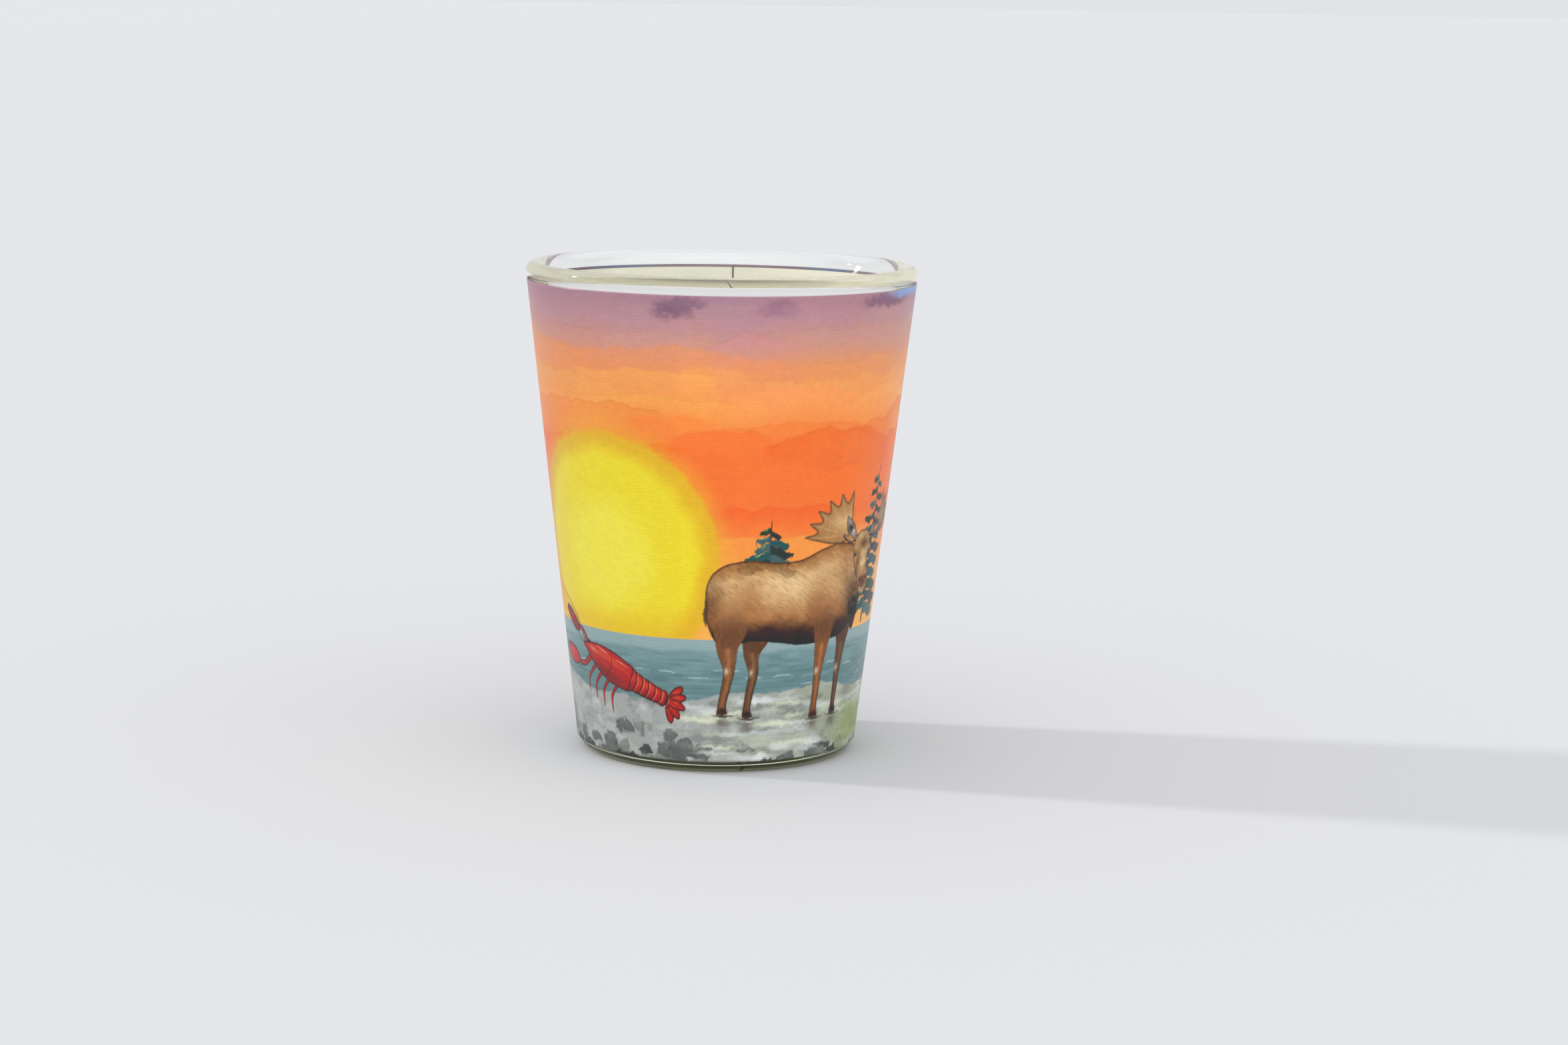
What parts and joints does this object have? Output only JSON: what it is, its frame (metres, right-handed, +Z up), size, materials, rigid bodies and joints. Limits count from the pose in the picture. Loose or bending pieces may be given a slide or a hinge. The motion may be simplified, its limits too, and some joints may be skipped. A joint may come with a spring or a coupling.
{
  "type": "shot glass",
  "caption": "Tapered clear souvenir shot glass with a rolled lip and heavy bottom, wrapped in a printed seaside sunset film with a moose and a lobster.",
  "frame": {"origin": "centre of the foot, on the surface the glass stands on", "axes": "+Z up along the glass's axis, the picture faces -Y, +X to the right as the picture is read"},
  "size_m": [0.048, 0.048, 0.06],
  "materials": {
    "clear_glass": "clear polished soda-lime glass",
    "backing": "matt pale yellow-green adhesive backing",
    "print": "printed film with a fine ribbed satin surface"
  },
  "bodies": {
    "root": {"glass_body": "clear_glass", "wrap_backing": "backing", "wrap_print": "print"}
  },
  "joints": []
}
